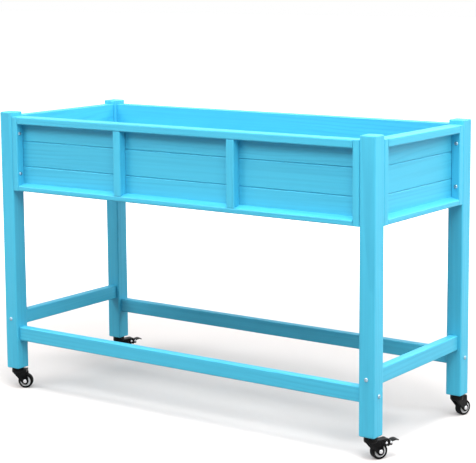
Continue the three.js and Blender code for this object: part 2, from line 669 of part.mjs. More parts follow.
// A piece that runs along the local X axis, moved out to one side of the planter. The
// sides are named as seen from the front, and turn says which way a side faces.
const SIDES = [
  { side: 'front', turn: 0, out: DEPTH / 2, span: LENGTH, bays: LONG_BAYS, ends: ['left', 'right'] },
  { side: 'right', turn: 1, out: LENGTH / 2, span: DEPTH, bays: END_BAYS, ends: ['front', 'back'] },
  { side: 'back', turn: 2, out: DEPTH / 2, span: LENGTH, bays: LONG_BAYS, ends: ['right', 'left'] },
  { side: 'left', turn: 3, out: LENGTH / 2, span: DEPTH, bays: END_BAYS, ends: ['back', 'front'] },
];

const planter = new THREE.Group();
planter.name = 'rolling_planter';

for (const { name, x, y } of CASTERS) {
  planter.add(post(`post_${name}`, x, y));
}

for (const { side, turn, out, span, bays, ends } of SIDES) {
  const facing = new THREE.Group();
  facing.rotation.z = turn * Math.PI / 2;
  const trough = panel(side, span, bays, ends);
  trough.position.y = -out;
  facing.add(trough);
  const level = span === LENGTH ? LONG_STRETCHER_LEVEL : END_STRETCHER_LEVEL;
  const bar = stretcher(`stretcher_${side}`, span, level);
  bar.position.y = -out + POST / 2;
  facing.add(bar);
  planter.add(facing);
}

planter.add(floorPanel());

for (const each of CASTERS) {
  planter.add(caster(each));
}

export default planter;
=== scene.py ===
import math

import bmesh
import bpy
import numpy as np
from mathutils import Euler, Matrix, Vector


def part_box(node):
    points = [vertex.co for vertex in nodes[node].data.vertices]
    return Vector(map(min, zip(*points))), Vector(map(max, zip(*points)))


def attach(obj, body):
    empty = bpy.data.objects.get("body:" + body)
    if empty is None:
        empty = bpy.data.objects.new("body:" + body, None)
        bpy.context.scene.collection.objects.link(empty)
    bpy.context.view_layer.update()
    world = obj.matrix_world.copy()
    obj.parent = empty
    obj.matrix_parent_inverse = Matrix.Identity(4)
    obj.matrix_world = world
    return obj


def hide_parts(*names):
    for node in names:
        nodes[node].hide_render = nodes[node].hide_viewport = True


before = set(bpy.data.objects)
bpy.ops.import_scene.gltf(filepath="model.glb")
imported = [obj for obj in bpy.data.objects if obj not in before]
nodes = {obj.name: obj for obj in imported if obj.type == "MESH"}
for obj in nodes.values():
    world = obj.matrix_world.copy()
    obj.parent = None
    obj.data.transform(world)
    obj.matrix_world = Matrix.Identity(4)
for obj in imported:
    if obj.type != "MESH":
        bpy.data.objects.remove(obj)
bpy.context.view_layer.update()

# ------------------------------------------------------------------ sizes, in metres

FIT = 0.0003  # gap between two pieces that meet
POST = 0.0445  # side of a post's section
POST_CORNER = 0.004
POST_END = 0.003
POST_CENTRE_X = 0.59375
POST_CENTRE_Y = 0.22775
POST_BOTTOM = 0.061
POST_TOP = 0.806
BOARD_CORNER = 0.003  # rounding of rails, stiles, dividers and stretchers
END_EASE = 0.0012  # rounding of the ends of rails, stiles and stretchers
BOARD_CHAMFER = 0.002  # half of the groove between two boards
BOARD_EDGE = 0.0006  # rounding of a board's edges
SILL_FACE = 0.014  # height of the bottom rail's outer face
SILL_RISE = 0.007  # rise of its sloping top
SILL_LIP = 0.006  # thickness of the lip under the boards
FRAME_THICK = 0.025  # thickness of rails, stiles and dividers
LONG_BOLT_LEVEL = 0.1645  # bolts of the front and back stretchers
END_BOLT_LEVEL = 0.2075  # bolts of the left and right stretchers
BOLT_RADIUS = 0.0055
BOLT_TALL = 0.0035
STILE_BOLT_INSET = 0.0115  # from the panel's outer face
STILE_BOLT_LEVELS = (0.632, 0.746)
STILE_BOLT_TALL = 0.0030

# casters, in the wheel's plane: along the trail from the swivel axis, and up
TRAIL = 0.0225  # the wheel's axis from the swivel axis
WHEEL_RADIUS = 0.021
LEG_INSIDE = 0.0100
LEG_OUTSIDE = 0.0124
LEG_LEAD = 0.0118  # the fork's sides start this far before the swivel axis
WEB_REACH = 0.0270  # and go up to a bridge, which ends here
WEB_BOTTOM = 0.0455
WEB_TOP = 0.0500  # of a braked fork, and the others go up to the head's top
HEAD_RADIUS = 0.0175
HEAD_TOP = 0.0563
PLATE_RADIUS = 0.0170
PLATE_TOP = 0.0607
EYE_RADIUS = 0.0100  # round end of the fork's sides
PIVOT = (0.03831, 0.04139)  # of the brake lever
EAR_RADIUS = 0.0080  # round nose of the fork's ears about the pivot
CROWN_REACH = 0.0458  # end of the hood over the wheel

SIDES = {"front": 0, "right": 1, "back": 2, "left": 3}  # quarter turns about Z
POSTS = {"front_left": (-1, -1), "front_right": (1, -1), "back_right": (1, 1), "back_left": (-1, 1)}
BODY = "planter_frame"

GROWTH_RING = 0.0100  # from one growth ring of the timber to the next
RING_WANDER = 0.034  # how far slow noise moves the rings
RING_RIPPLE = 0.004  # and how far quicker noise does
PAINT_RELIEF = 0.0004  # depth of the grain that shows through the paint
COAT_RELIEF = 0.0001  # depth of the texture of the casters' black finishes
SKY_BLUE = (0.064, 0.522, 0.742, 1)
SKY_BLUE_DEEP = (0.050, 0.443, 0.654, 1)  # where the paint has sunk

chance = np.random.default_rng(11)

# ------------------------------------------------------------------ shader arithmetic


class Value:
    """A socket of a material, whose arithmetic adds Math nodes."""

    def __init__(self, finish, socket):
        self.finish = finish
        self.socket = socket

    def _math(self, operation, *others):
        return self.finish.node("ShaderNodeMath", {"operation": operation}, dict(enumerate(others)))

    def __add__(self, other):
        return self._math("ADD", self, other)

    def __mul__(self, other):
        return self._math("MULTIPLY", self, other)

    def __truediv__(self, other):
        return self._math("DIVIDE", self, other)

    def __pow__(self, other):
        return self._math("POWER", self, other)

    __radd__ = __add__
    __rmul__ = __mul__

    def fraction(self):
        return self._math("FRACT", self)

    def ramp(self, low, high, bottom=0.0, top=1.0):
        """Rises smoothly from bottom to top as the value goes from low to high."""
        return self.finish.node(
            "ShaderNodeMapRange", {"interpolation_type": "SMOOTHSTEP"},
            {0: self, 1: low, 2: high, 3: bottom, 4: top})


class Finish:
    """A material around one Principled shader. Numbers that are the same all over the
    surface are set on the shader's own sockets, and what varies is linked to them."""

    def __init__(self, name, **constants):
        self.material = bpy.data.materials.new(name)
        self.material.use_nodes = True
        self.tree = self.material.node_tree
        self.shader = self.tree.nodes["Principled BSDF"]
        for key, value in constants.items():
            self.shader.inputs[key.replace("_", " ")].default_value = value

    def node(self, kind, settings=None, inputs=None, output=0):
        made = self.tree.nodes.new(kind)
        for key, value in (settings or {}).items():
            setattr(made, key, value)
        for key, value in (inputs or {}).items():
            self.feed(made.inputs[key], value)
        return Value(self, made.outputs[output])

    def feed(self, socket, value):
        if isinstance(value, Value):
            self.tree.links.new(value.socket, socket)
        else:
            socket.default_value = value

    def set(self, **inputs):
        for key, value in inputs.items():
            self.feed(self.shader.inputs[key.replace("_", " ")], value)

    def noise(self, where, scale, detail, roughness=0.5):
        return self.node("ShaderNodeTexNoise", None, {
            "Vector": where, "Scale": scale, "Detail": detail, "Roughness": roughness})

    def stretched(self, where, scale):
        """The pattern's coordinates, each multiplied by its own number."""
        return self.node("ShaderNodeVectorMath", {"operation": "MULTIPLY"}, {0: where, 1: scale})

    def mix(self, share, first, second):
        """The colour between two colours, by a share of the second from 0 to 1."""
        made = self.tree.nodes.new("ShaderNodeMix")
        made.data_type = "RGBA"
        self.feed(made.inputs[0], share)
        self.feed(made.inputs[6], first)
        self.feed(made.inputs[7], second)
        return Value(self, made.outputs[2])

    def bump(self, height, distance, strength):
        return self.node("ShaderNodeBump", None, {
            "Strength": strength, "Distance": distance, "Height": height})


# ------------------------------------------------------------------------- finishes


def painted_wood():
    """Sky-blue satin paint over flat-sawn softwood, read from each timber's own grain
    coordinates: x along it, y and z from the heart of the tree. The growth rings are the
    distance from the heart, moved a little by slow noise. The paint sinks between them,
    in patches, and along broad streaks and fine fibres that run with the timber."""
    paint = Finish("paint_sky_blue", Specular_IOR_Level=0.5)
    grain = paint.node("ShaderNodeAttribute", {"attribute_name": "grain"}, output=1)
    split = paint.node("ShaderNodeSeparateXYZ", None, {0: grain})
    across = Value(paint, split.socket.node.outputs[1])
    through = Value(paint, split.socket.node.outputs[2])
    wander = paint.noise(paint.stretched(grain, (1.6, 11.0, 11.0)), 1.0, 2.0)
    ripple = paint.noise(paint.stretched(grain, (8.0, 55.0, 55.0)), 1.0, 2.0)
    radius = (across * across + through * through) ** 0.5
    radius = radius + wander * RING_WANDER + ripple * RING_RIPPLE
    ring = (radius / GROWTH_RING).fraction()
    patch = paint.noise(paint.stretched(grain, (1.3, 10.0, 10.0)), 1.0, 2.0)
    late_wood = ring.ramp(0.35, 0.85) * ring.ramp(0.90, 1.0, 1.0, 0.0)
    line = late_wood * patch.ramp(0.38, 0.62, 0.12, 1.0)
    streak = paint.noise(paint.stretched(grain, (1.2, 120.0, 120.0)), 1.0, 2.0)
    fibre = paint.noise(paint.stretched(grain, (26.0, 800.0, 800.0)), 1.0, 3.0, 0.6)
    cloud = paint.noise(paint.stretched(grain, (3.0, 14.0, 14.0)), 1.0, 3.0)
    shade = line * 0.30 + streak.ramp(0.3, 0.7) * 0.30 + fibre * 0.15 + cloud * 0.35
    paint.set(
        Base_Color=paint.mix(shade.ramp(0.1, 0.9), SKY_BLUE, SKY_BLUE_DEEP),
        Roughness=0.42 + fibre * 0.16 + line * 0.05,
        Normal=paint.bump(line * -0.7 + streak * 0.8 + fibre * 0.4 + cloud * 0.6, PAINT_RELIEF, 0.5))
    return paint.material


def black_metal():
    """Black paint on pressed steel, with a faint orange peel and rubbed patches."""
    coat = Finish("caster_black_metal", Metallic=0.0, Specular_IOR_Level=0.1)
    place = coat.node("ShaderNodeTexCoord", output=3)
    peel = coat.noise(place, 900.0, 2.0)
    rub = coat.noise(place, 70.0, 4.0)
    coat.set(
        Base_Color=coat.mix(rub.ramp(0.45, 0.75), (0.0022, 0.0024, 0.0028, 1), (0.007, 0.007, 0.008, 1)),
        Roughness=0.26 + rub * 0.2,
        Normal=coat.bump(peel, COAT_RELIEF, 0.25))
    return coat.material


def black_plastic():
    """Moulded black plastic, semi-gloss, with a fine texture and scuffs."""
    plastic = Finish("lever_black_plastic", Specular_IOR_Level=0.14)
    place = plastic.node("ShaderNodeTexCoord", output=3)
    scuff = plastic.noise(plastic.stretched(place, (300.0, 300.0, 900.0)), 1.0, 4.0)
    fine = plastic.noise(place, 2200.0, 2.0)
    plastic.set(
        Base_Color=plastic.mix(scuff.ramp(0.5, 0.8), (0.0024, 0.0024, 0.0028, 1), (0.009, 0.009, 0.010, 1)),
        Roughness=0.30 + scuff * 0.2,
        Normal=plastic.bump(fine, COAT_RELIEF, 0.25))
    return plastic.material


def core_plastic():
    """Light grey moulded plastic, a little soiled."""
    core = Finish("wheel_core_grey", Specular_IOR_Level=0.5)
    place = core.node("ShaderNodeTexCoord", output=3)
    soil = core.noise(place, 180.0, 4.0)
    core.set(
        Base_Color=core.mix(soil.ramp(0.45, 0.85), (0.72, 0.73, 0.74, 1), (0.50, 0.50, 0.50, 1)),
        Roughness=0.35 + soil * 0.2)
    return core.material


def black_rubber():
    """Dark rubber, duller and dustier in patches."""
    rubber = Finish("tyre_rubber", Specular_IOR_Level=0.08)
    place = rubber.node("ShaderNodeTexCoord", output=3)
    dust = rubber.noise(place, 120.0, 5.0)
    speck = rubber.noise(place, 1500.0, 2.0)
    rubber.set(
        Base_Color=rubber.mix(dust.ramp(0.4, 0.8), (0.003, 0.003, 0.0034, 1), (0.009, 0.009, 0.0085, 1)),
        Roughness=0.5 + dust * 0.25,
        Normal=rubber.bump(speck, COAT_RELIEF, 0.3))
    return rubber.material


def plated_steel(name, clean, stained):
    """Plated steel with a fine brushed variation between two greys."""
    steel = Finish(name, Metallic=1.0)
    place = steel.node("ShaderNodeTexCoord", output=3)
    stain = steel.noise(place, 260.0, 4.0)
    steel.set(
        Base_Color=steel.mix(stain.ramp(0.35, 0.8), clean, stained),
        Roughness=0.20 + stain * 0.16)
    return steel.material


WOOD = painted_wood()
BLACK = black_metal()
PLASTIC = black_plastic()
CORE = core_plastic()
RUBBER = black_rubber()
STEEL = plated_steel("bright_steel", (0.60, 0.61, 0.63, 1), (0.44, 0.46, 0.48, 1))
# the bolts' steel is tinted blue in both its tones: a painted reflection of the blue paint round them; the
# change between the two tones is stain
BOLT_STEEL_WITH_PAINTED_REFLECTION = plated_steel("bolt_steel_with_painted_reflection", (0.32, 0.45, 0.53, 1), (0.20, 0.30, 0.37, 1))

# ------------------------------------------------------------------ surface helpers


def outline(corners, radii, steps=5):
    """A closed outline, anticlockwise, with each corner rounded by its own radius, as
    points and outward normals. Each corner is an arc that starts where the side before it
    leaves off: start + r (sin a along that side + (1 - cos a) to the inside), with a
    point on the straight just before and just after it, so that flats stay flat."""
    at = np.array(corners, float)
    radius = np.broadcast_to(np.array(radii, float), (len(at),))[:, None, None]
    before = at - np.roll(at, 1, 0)
    before /= np.linalg.norm(before, axis=1, keepdims=True)
    after = np.roll(before, -1, 0)
    cross = before[:, 0] * after[:, 1] - before[:, 1] * after[:, 0]
    turn = np.arctan2(cross, (before * after).sum(1))
    left = np.stack([-before[:, 1], before[:, 0]], 1)
    tangent = radius[:, 0, 0] * np.tan(np.abs(turn) / 2)
    start = at - before * tangent[:, None]
    end = at + after * tangent[:, None]
    angle = np.linspace(0, 1, steps + 1)[None] * turn[:, None]
    along = np.sin(np.abs(angle))[..., None] * before[:, None]
    inside = ((1 - np.cos(angle)) * np.sign(turn)[:, None])[..., None] * left[:, None]
    arc = start[:, None] + radius * (along + inside)
    heading = np.arctan2(before[:, 1], before[:, 0])[:, None] + angle
    normal = np.stack([np.sin(heading), -np.cos(heading)], -1)
    reach = 0.4 * tangent[:, None]
    points = np.concatenate([(start - before * reach)[:, None], arc, (end + after * reach)[:, None]], 1)
    normals = np.concatenate([normal[:, :1], normal, normal[:, -1:]], 1)
    return points.reshape(-1, 2), normals.reshape(-1, 2)


def eased(low, high, ease, steps=4):
    """Stations from low to high and how far the outline is drawn in at each: at both ends
    the two follow a quarter circle, ease (1 - cos a) along and ease (1 - sin a) in."""
    angle = np.linspace(0, math.pi / 2, steps + 1)
    along = np.concatenate([[0], ease * (1 - np.cos(angle)), [1.4 * ease]])
    inset = np.concatenate([[1.4 * ease], ease * (1 - np.sin(angle)), [0]])
    return np.concatenate([low + along, high - along[::-1]]), np.concatenate([inset, inset[::-1]])


def rings_to_mesh(name, *shells):
    """One closed surface for each set of rings: quads from each ring of points to the
    next, and a flat face over both ends. Where the last ring is the first one again, the
    surface closes on itself and has no ends."""
    points, faces = [], []
    start = 0
    for rings in shells:
        looped = np.allclose(rings[0], rings[-1], atol=1e-9)
        rings = rings[:-1] if looped else rings
        count, around = rings.shape[:2]
        index = start + np.arange(count * around).reshape(count, around)
        after = np.roll(index, -1, 0) if looped else index[1:]
        before = index if looped else index[:-1]
        quads = np.stack([before, np.roll(before, -1, 1), np.roll(after, -1, 1), after], -1)
        faces += quads.reshape(-1, 4).tolist()
        faces += [] if looped else [index[0, ::-1].tolist(), index[-1].tolist()]
        points.append(rings.reshape(-1, 3))
        start += count * around
    mesh = bpy.data.meshes.new(name)
    mesh.from_pydata(np.concatenate(points).tolist(), [], faces)
    mesh.polygons.foreach_set("use_smooth", np.ones(len(faces), bool))
    return mesh


def piece(name, mesh, material, body, slot, *stands_for):
    """A finished piece: it rides on its body, takes the finish that is given, and stands
    for the CAD nodes that are named. Its slot is not used."""
    thing = bpy.data.objects.new(name, mesh)
    bpy.context.scene.collection.objects.link(thing)
    mesh.materials.append(material)
    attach(thing, body)
    if stands_for:
        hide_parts(*stands_for)
    return thing


def quarter_turned(points, turns):
    """The points turned about Z by that many quarter turns."""
    cos, sin = [(1, 0), (0, 1), (-1, 0), (0, -1)][turns % 4]
    return points @ np.array([[cos, sin, 0], [-sin, cos, 0], [0, 0, 1]], float)


def side_box(node, turns):
    """The lowest and highest corner of a node, turned back to the front side."""
    corners = quarter_turned(np.array(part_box(node), float), -turns)
    return corners.min(0), corners.max(0)


HEART_SPREAD = 0.018  # how far the heart of the tree lies off a timber's middle, at random
HEART_DEPTH = 0.05  # and how far it lies behind or before it
HEART_LEAN = 0.014  # how much its line leans
GRAIN_SHIFT = 40  # the noise starts anywhere within this length


def timber(name, section, axis, low, high, ease, turns=0, lift=None):
    """A timber: its section, drawn in the two other axes, is carried from low to high
    along the axis with its ends eased, then turned to its side of the planter. It keeps
    its grain as coordinates along it and from the heart of its tree, whose line leans a
    little, so that the rings end in long arches on its faces."""
    points, normals = section
    station, inset = eased(low, high, ease)
    flat = points[None] - normals[None] * inset[:, None, None]
    along = np.repeat(station[:, None], len(points), 1)
    if lift is not None:
        along = along + lift(flat, along)
    order = {"x": (2, 0, 1), "z": (0, 1, 2)}[axis]
    rings = np.concatenate([flat, along[..., None]], -1)[..., order]
    heart = flat.reshape(-1, 2).mean(0) + chance.normal(0, HEART_SPREAD, 2)
    heart = heart + [0, HEART_DEPTH * chance.choice([-1, 1])]
    if axis == "x":
        heart = heart[::-1] if chance.random() < 0.5 else heart
    lean = chance.normal(0, HEART_LEAN, 2)
    ringed = flat - heart - lean * (along - along.mean())[..., None]
    grain = np.concatenate([along[..., None] + chance.uniform(0, GRAIN_SHIFT), ringed], -1)
    mesh = rings_to_mesh(name, quarter_turned(rings.reshape(-1, 3), turns).reshape(rings.shape))
    grain_of = mesh.attributes.new("grain", "FLOAT_VECTOR", "POINT")
    grain_of.data.foreach_set("vector", grain.astype(np.float32).ravel())
    return piece(name, mesh, WOOD, BODY, "boards", name.removeprefix("painted_"))


def rectangle(low, high):
    """The corners of a rectangle, anticlockwise."""
    return [(low[0], low[1]), (high[0], low[1]), (high[0], high[1]), (low[0], high[1])]


# ------------------------------------------------------------- posts and stretchers

for where, (out_x, out_y) in POSTS.items():
    centre = np.array([out_x * POST_CENTRE_X, out_y * POST_CENTRE_Y])
    square = outline(rectangle(centre - POST / 2, centre + POST / 2), POST_CORNER, 6)
    timber(f"painted_post_{where}", square, "z", POST_BOTTOM, POST_TOP, POST_END)

for side, turns in SIDES.items():
    low, high = side_box(f"stretcher_{side}", turns)
    bar = outline(rectangle(low[1:], high[1:]), BOARD_CORNER)
    timber(f"painted_stretcher_{side}", bar, "x", low[0], high[0], END_EASE, turns)

# -------------------------------------------------------------------- trough panels

PANEL_KINDS = ("stile", "top_rail", "bottom_rail", "divider", "board")
SILL_NOSE = 0.0035  # rounding of the bottom rail's nose


def foot_on_sill(face, bottom, top):
    """A divider's foot follows the sloping top of the bottom rail: a point is lifted by
    the slope times its distance from the face, less and less towards the divider's top."""
    slope = SILL_RISE / FRAME_THICK

    def lift(flat, up):
        return slope * (flat[..., 1] - face) * np.clip((top - up) / (top - bottom), 0, 1)

    return lift


for node in sorted(nodes):
    kind = next((k for k in PANEL_KINDS if node.startswith(k)), None)
    if kind is None:
        continue
    turns = SIDES[node.removeprefix(kind + "_").split("_")[0]]
    low, high = side_box(node, turns)
    name = "painted_" + node
    if kind == "stile":
        section = outline(rectangle(low[:2], high[:2]), BOARD_CORNER)
        timber(name, section, "z", low[2], high[2], END_EASE, turns)
    elif kind == "top_rail":
        section = outline(rectangle(low[1:], high[1:]), BOARD_CORNER)
        timber(name, section, "x", low[0], high[0], END_EASE, turns)
    elif kind == "divider":
        section = outline(rectangle(low[:2], high[:2]), BOARD_CORNER)
        bottom = side_box(f"bottom_rail_{node.split('_')[1]}", turns)[0][2] + SILL_FACE + FIT
        foot = foot_on_sill(low[1], bottom, high[2])
        timber(name, section, "z", bottom, high[2], END_EASE, turns, foot)
    elif kind == "bottom_rail":
        y, z, inner = low[1], low[2], high[1]
        section = outline(
            [(y, z), (inner, z), (inner, z + SILL_LIP), (y + FRAME_THICK, z + SILL_LIP),
             (y + FRAME_THICK, z + SILL_FACE + SILL_RISE), (y, z + SILL_FACE)],
            [BOARD_CORNER, BOARD_EDGE, BOARD_EDGE, BOARD_EDGE, BOARD_EDGE, SILL_NOSE])
        timber(name, section, "x", low[0], high[0], END_EASE, turns)
    else:
        c = BOARD_CHAMFER
        section = outline(
            [(low[1] + c, low[2]), (high[1], low[2]), (high[1], high[2]), (low[1] + c, high[2]),
             (low[1], high[2] - c), (low[1], low[2] + c)], BOARD_EDGE, 3)
        timber(name, section, "x", low[0], high[0], BOARD_EDGE, turns)

# ---------------------------------------------------------------------------- bolts

BOLT_DOME_TURN = 0.33 * math.pi  # how far round its quarter the dome of a head goes
BOLT_FOOT = -0.0002  # a head's foot lies this far inside the face that it stands on


def turned_about(profile, sides=48):
    """Rings of a lathe: each point of the profile, [radius, height], is turned about Z."""
    angle = np.linspace(0, 2 * math.pi, sides, endpoint=False)
    profile = np.array(profile, float)
    ring = np.stack([np.cos(angle), np.sin(angle)], -1)
    flat = profile[:, :1, None] * ring[None]
    return np.concatenate([flat, np.repeat(profile[:, 1, None, None], sides, 1)], -1)


def bolt_head(radius, tall, sides=48):
    """A button head, from its flat foot up over its dome to the hexagonal socket in it:
    r = R cos a and z = skirt + (H - skirt) sin a / sin of its last a, and the rings of the socket go from a
    circle to a hexagon, whose radius is its flat divided by cos of the angle to the
    middle of that flat."""
    skirt = 0.25 * tall
    angle = np.linspace(0, BOLT_DOME_TURN, 9)
    rise = skirt + (tall - skirt) * np.sin(angle) / math.sin(BOLT_DOME_TURN)
    dome = np.stack([radius * np.cos(angle), rise], 1)
    foot = [(0.9 * radius, BOLT_FOOT), (radius, BOLT_FOOT), (radius, 0.3 * skirt)]
    rings = turned_about([*foot, *dome[:-1]], sides)
    around = np.linspace(0, 2 * math.pi, sides, endpoint=False)
    wedge = (around + math.pi / 6) % (math.pi / 3) - math.pi / 6
    hexagon = np.stack([np.cos(around), np.sin(around)], -1) / np.cos(wedge)[:, None]
    steps = (
        (0.42, tall), (0.38, tall - 0.0001), (0.37, tall - 0.0004), (0.36, 0.35 * tall), (0.30, 0.3 * tall))
    socket = [np.concatenate([hexagon * size * radius, np.full((sides, 1), z)], 1) for size, z in steps]
    return np.concatenate([rings, np.array(socket)])


def bolt(name, place, direction, radius, tall):
    """A bolt head standing on a face at the place, with its axis along the direction."""
    axis = np.array(direction, float)
    side = np.cross([0, 0, 1.0], axis)
    basis = np.array([side, np.cross(axis, side), axis])
    rings = bolt_head(radius, tall) @ basis + np.array(place)
    return piece(name, rings_to_mesh(name, rings), BOLT_STEEL_WITH_PAINTED_REFLECTION, BODY, "bright_steel")


for where, (out_x, out_y) in POSTS.items():
    x, y = out_x * POST_CENTRE_X, out_y * POST_CENTRE_Y
    on_side = (x + out_x * POST / 2, y, LONG_BOLT_LEVEL)
    on_face = (x, y + out_y * POST / 2, END_BOLT_LEVEL)
    bolt(f"bolt_side_{where}", on_side, (out_x, 0, 0), BOLT_RADIUS, BOLT_TALL)
    bolt(f"bolt_face_{where}", on_face, (0, out_y, 0), BOLT_RADIUS, BOLT_TALL)

for node in sorted(n for n in nodes if n.startswith("stile_")):
    side, end = node.split("_")[1:]
    turns = SIDES[side]
    low, high = side_box(node, turns)
    inward = -1 if low[0] > 0 else 1
    face = high[0] if inward > 0 else low[0]
    for number, level in enumerate(STILE_BOLT_LEVELS, 1):
        place = quarter_turned(np.array([face, low[1] + STILE_BOLT_INSET, level]), turns)
        direction = quarter_turned(np.array([inward, 0.0, 0.0]), turns)
        bolt(f"bolt_{side}_{end}_{number}", place, direction, BOLT_RADIUS, STILE_BOLT_TALL)

# ---------------------------------------------------------------------- floor panel

FLOOR_EDGE = 0.0008  # rounding of the panel and of its drain holes
FLOOR_HEART = np.float32([5, 0.01, -0.65])  # shifts the grain's heart to just above it



SORT_STEP = 1e-5  # places are told apart by this much
SORT_SPAN = 1e5  # more steps than the panel has in its depth or in its thickness


def place_number(part):
    """A number for the middle of a vertex, edge or face, which puts them in the same order
    on every run: the steps along x, then along y, then along z, as three digits."""
    points = [part.co] if isinstance(part, bmesh.types.BMVert) else [vertex.co for vertex in part.verts]
    x, y, z = np.round(np.mean([list(point) for point in points], 0) / SORT_STEP)
    return float((x * SORT_SPAN + y) * SORT_SPAN + z)


# a copy of the CAD panel is merged, its flats are joined and its sharp edges rounded
floor_mesh = nodes["floor_panel"].data.copy()
floor_mesh.materials.clear()
shape = bmesh.new()
shape.from_mesh(floor_mesh)
bmesh.ops.remove_doubles(shape, verts=shape.verts, dist=1e-5)
bmesh.ops.dissolve_limit(shape, angle_limit=math.radians(1), verts=shape.verts, edges=shape.edges)
for parts in (shape.verts, shape.edges, shape.faces):
    parts.sort(key=place_number)
edges = [edge for edge in shape.edges if edge.calc_face_angle(0) > math.radians(60)]
bmesh.ops.bevel(shape, geom=edges, offset=FLOOR_EDGE, segments=2, affect="EDGES", profile=0.5)
bmesh.ops.triangulate(shape, faces=shape.faces)
for parts in (shape.verts, shape.edges, shape.faces):
    parts.sort(key=place_number)
shape.to_mesh(floor_mesh)
shape.free()
floor_points = np.empty(len(floor_mesh.vertices) * 3, np.float32)
floor_mesh.vertices.foreach_get("co", floor_points)
floor_grain = floor_mesh.attributes.new("grain", "FLOAT_VECTOR", "POINT")
floor_grain.data.foreach_set("vector", (floor_points.reshape(-1, 3) + FLOOR_HEART).ravel())
piece("painted_floor_panel", floor_mesh, WOOD, BODY, "boards", "floor_panel")

# -------------------------------------------------------------------------- casters


def tangent_corners(centre, radius, *degrees):
    """The corners of the outline that touches a circle at each of the angles: between two
    of them, at radius / cos of half the turn. Rounded by the radius, they give the arc."""
    angle = np.radians(degrees)
    middle = (angle[1:] + angle[:-1]) / 2
    reach = radius / np.cos((angle[1:] - angle[:-1]) / 2)
    return [(centre[0] + r * math.cos(a), centre[1] + r * math.sin(a)) for r, a in zip(reach, middle)]


def across(section, low, high, ease):
    """A plate in the wheel's plane: its outline, [along, up], is carried across from high
    to low with both edges eased."""
    points, normals = section
    station, inset = eased(low, high, ease)
    flat = points[None] - normals[None] * inset[:, None, None]
    side = np.repeat(station[::-1, None], len(points), 1)
    return np.stack([flat[..., 0], side, flat[..., 1]], -1)


def along(section, low, high, ease):
    """A bar along the trail: its outline, [across, up], is carried from low to high."""
    points, normals = section
    station, inset = eased(low, high, ease)
    flat = points[None] - normals[None] * inset[:, None, None]
    return np.stack([np.repeat(station[:, None], len(points), 1), flat[..., 0], flat[..., 1]], -1)


def ring_about(section, sides=72):
    """A closed outline, [radius, height], turned about Z."""
    points = section[0]
    return turned_about(np.concatenate([points, points[:1]]), sides)


def on_axle(rings, place):
    """Rings about Z are laid with their axis across the wheel's plane, at a place in it."""
    return rings[..., (1, 2, 0)] + np.array([place[0], 0, place[1]])


def button(radius, low, high, edge):
    """The profile of a domed head, from its foot at low to its tip at high: a straight
    skirt, then r = R cos a and height = edge + (high - edge) sin a."""
    angle = np.linspace(0, 0.495 * math.pi, 14)
    dome = np.stack([radius * np.cos(angle), edge + (high - edge) * np.sin(angle)], 1)
    return np.concatenate([[(0.9 * radius, low), (radius, low), (radius, low + 0.2 * (edge - low))], dome])


def both_ways(profile, shank):
    """A rivet's profile: the same head at both ends of its shank."""
    half = np.concatenate([[(shank, profile[0, 1])], profile])
    other = (half * [1, -1])[::-1]
    return np.concatenate([other, half])


def pedal_rings(root, control, tip, half, thick):
    """The pedal's plate. Its middle line is the curve (1 - t)^2 root + 2 t (1 - t) control
    + t^2 tip. Around it each ring is a rounded rectangle, |x / half|^5 + |y / thick|^5 = 1.
    The plate widens a little up to t = 0.4. From t = 0.5 its half width goes down as the
    square root of 1 - 0.9 s^3, with s from 0 to 1. It thins a little to the tip."""
    t = np.concatenate([np.linspace(0, 0.9, 19), [0.93, 0.95, 0.97, 0.985, 1.0]])[:, None]
    root, control, tip = (np.array(p) for p in (root, control, tip))
    middle = (1 - t) ** 2 * root + 2 * t * (1 - t) * control + t ** 2 * tip
    heading = (1 - t) * (control - root) + t * (tip - control)
    heading /= np.linalg.norm(heading, axis=1, keepdims=True)
    end = np.clip((t - 0.5) / 0.5, 0, 1)
    last = np.clip((t - 0.93) / 0.07, 0, 1)
    wide = half * (1 - 0.2 * np.clip(1 - t / 0.4, 0, 1) ** 2) * np.sqrt(1 - 0.9 * end ** 3)
    deep = thick / 2 * (1 - 0.2 * t) * np.sqrt(1 - 0.8 * last ** 2)
    angle = np.linspace(0, 2 * math.pi, 64, endpoint=False)
    side = np.sign(np.cos(angle)) * np.abs(np.cos(angle)) ** 0.4 * wide
    up = np.sign(np.sin(angle)) * np.abs(np.sin(angle)) ** 0.4 * deep
    place = middle[:, None] + up[..., None] * np.stack([-heading[:, 1], heading[:, 0]], -1)[:, None]
    return np.stack([place[..., 0], side, place[..., 1]], -1)


def standing(rings, where, trail):
    """Rings in a caster's own frame, [along the trail, across, up], as they stand."""
    out_x, out_y = POSTS[where]
    cos, sin = math.cos(math.radians(trail)), math.sin(math.radians(trail))
    turned = rings @ np.array([[cos, sin, 0], [-sin, cos, 0], [0, 0, 1]])
    return turned + [out_x * POST_CENTRE_X, out_y * POST_CENTRE_Y, 0]


axle_place = (TRAIL, WHEEL_RADIUS)

